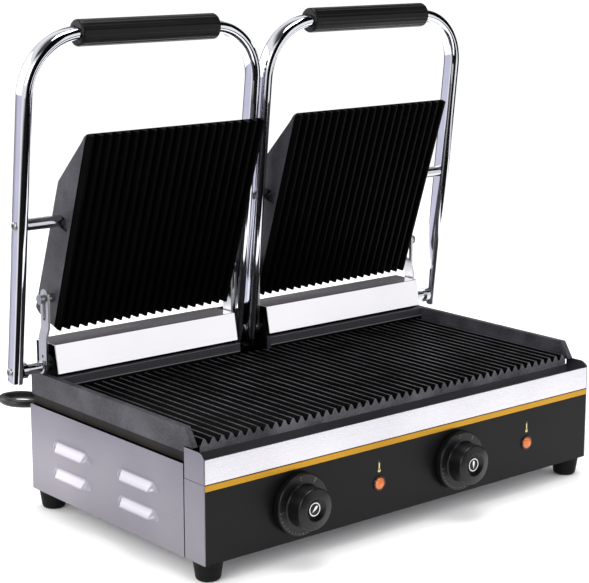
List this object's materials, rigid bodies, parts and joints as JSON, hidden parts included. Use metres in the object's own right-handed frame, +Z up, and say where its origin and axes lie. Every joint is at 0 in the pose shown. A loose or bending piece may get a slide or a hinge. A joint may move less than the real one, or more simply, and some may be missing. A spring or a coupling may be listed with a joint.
{
  "type": "contact grill",
  "caption": "Double countertop contact grill with ribbed cast plates, counterbalanced lids on chromed U-shaped handle frames, thermostat dials and a slide-out drip tray.",
  "frame": {"origin": "on the table, midway across the grill and midway between the knobs' faces and the back of the raised lids", "axes": "+X to the user's right, +Y from the front to the back, +Z up"},
  "size_m": [0.5466, 0.4332, 0.4631],
  "materials": {
    "stainless_sheet": "satin",
    "cast_iron": "matte",
    "black_fascia": "semi-gloss",
    "gilt_stripe": "gloss",
    "foot_rubber": "matte",
    "zinc_screws": "satin",
    "chromed_tube": "polished",
    "turned_steel": "satin",
    "grip_plastic": "semi-gloss",
    "link_steel": "satin",
    "spring_steel": "satin",
    "bracket_enamel": "satin",
    "knob_plastic": "satin",
    "knob_disc_plate": "satin",
    "lamp_bezel": "gloss",
    "lamp_lens": "gloss",
    "thermostat_case": "matte",
    "element_sheath": "matte",
    "cord_sheath": "satin",
    "tie_strap": "matte",
    "plug_pin_metal": "satin"
  },
  "bodies": {
    "base": {"bottom_pan": "stainless_sheet", "front_panel": "stainless_sheet", "rear_panel": "stainless_sheet", "heat_shield": "stainless_sheet", "left_side_panel": "stainless_sheet", "right_side_panel": "stainless_sheet", "left_hinge_cover": "stainless_sheet", "right_hinge_cover": "stainless_sheet", "lower_plate": "cast_iron", "control_fascia": "black_fascia", "trim_stripe": "gilt_stripe", "feet": "foot_rubber", "foot_screws": "zinc_screws", "bracket_screws": "zinc_screws", "hinge_brackets": "bracket_enamel", "lamp_holders": "lamp_bezel", "lamp_lenses": "lamp_lens", "thermostats": "thermostat_case", "lower_elements": "element_sheath", "cord_gland": "cord_sheath", "power_cord": "cord_sheath", "cord_coil": "cord_sheath", "cord_tie": "tie_strap", "plug": "cord_sheath", "plug_pins": "plug_pin_metal"},
    "tray": {"drip_tray": "stainless_sheet", "tray_end_caps": "stainless_sheet"},
    "left_dial": {"left_knob": "knob_plastic", "left_knob_disc": "knob_disc_plate", "left_knob_shaft": "turned_steel"},
    "left_frame": {"left_handle_tube": "chromed_tube", "left_grip": "grip_plastic", "left_hinge_shaft": "chromed_tube", "left_cross_rod": "chromed_tube", "left_shaft_collars": "turned_steel", "left_arm_screws": "zinc_screws", "left_spring": "spring_steel"},
    "left_lid": {"left_upper_plate": "cast_iron", "left_back_cover": "stainless_sheet", "left_back_cover_screws": "zinc_screws", "left_upper_element": "element_sheath", "left_link_bolts": "zinc_screws"},
    "left_links": {"left_guide_links": "link_steel"},
    "right_dial": {"right_knob": "knob_plastic", "right_knob_disc": "knob_disc_plate", "right_knob_shaft": "turned_steel"},
    "right_frame": {"right_handle_tube": "chromed_tube", "right_grip": "grip_plastic", "right_hinge_shaft": "chromed_tube", "right_cross_rod": "chromed_tube", "right_shaft_collars": "turned_steel", "right_arm_screws": "zinc_screws", "right_spring": "spring_steel"},
    "right_lid": {"right_upper_plate": "cast_iron", "right_back_cover": "stainless_sheet", "right_back_cover_screws": "zinc_screws", "right_upper_element": "element_sheath", "right_link_bolts": "zinc_screws"},
    "right_links": {"right_guide_links": "link_steel"}
  },
  "joints": [
    {"name": "left_lid_swing", "type": "hinge", "parent": "base", "child": "left_frame", "pos_m": [0, 0.1242, 0.14], "axis": [1, 0, 0], "range_deg": [0, 79.51], "stiffness_Nm_per_rad": 3.2, "springref_deg": -11.46},
    {"name": "left_plate_tilt", "type": "hinge", "parent": "left_frame", "child": "left_lid", "pos_m": [0, 0.10733, 0.27938], "axis": [1, 0, 0], "range_deg": [-8.2, 0.1]},
    {"name": "left_link_swing", "type": "hinge", "parent": "left_frame", "child": "left_links", "pos_m": [0, 0.1242, 0.14], "axis": [1, 0, 0], "range_deg": [-0.1, 9.7]},
    {"name": "left_dial_turn", "type": "hinge", "parent": "base", "child": "left_dial", "pos_m": [-0.1385, -0.1295, 0.0523], "axis": [0, 1, 0], "range_deg": [0, 280]},
    {"name": "right_lid_swing", "type": "hinge", "parent": "base", "child": "right_frame", "pos_m": [0, 0.1242, 0.14], "axis": [1, 0, 0], "range_deg": [0, 80.31], "stiffness_Nm_per_rad": 3.2, "springref_deg": -11.46},
    {"name": "right_plate_tilt", "type": "hinge", "parent": "right_frame", "child": "right_lid", "pos_m": [0, 0.10928, 0.2796], "axis": [1, 0, 0], "range_deg": [-8.2, 0.1]},
    {"name": "right_link_swing", "type": "hinge", "parent": "right_frame", "child": "right_links", "pos_m": [0, 0.1242, 0.14], "axis": [1, 0, 0], "range_deg": [-0.1, 9.7]},
    {"name": "right_dial_turn", "type": "hinge", "parent": "base", "child": "right_dial", "pos_m": [0.056, -0.1295, 0.0523], "axis": [0, 1, 0], "range_deg": [0, 280]},
    {"name": "tray_draw", "type": "slide", "parent": "base", "child": "tray", "axis": [0, -1, 0], "range_m": [0, 0.02]}
  ],
  "couplings": [
    {"joint": "left_plate_tilt", "follows": "left_lid_swing", "ratio": -0.10094},
    {"joint": "left_link_swing", "follows": "left_lid_swing", "ratio": 0.11907},
    {"joint": "right_plate_tilt", "follows": "right_lid_swing", "ratio": -0.10094},
    {"joint": "right_link_swing", "follows": "right_lid_swing", "ratio": 0.11907}
  ]
}
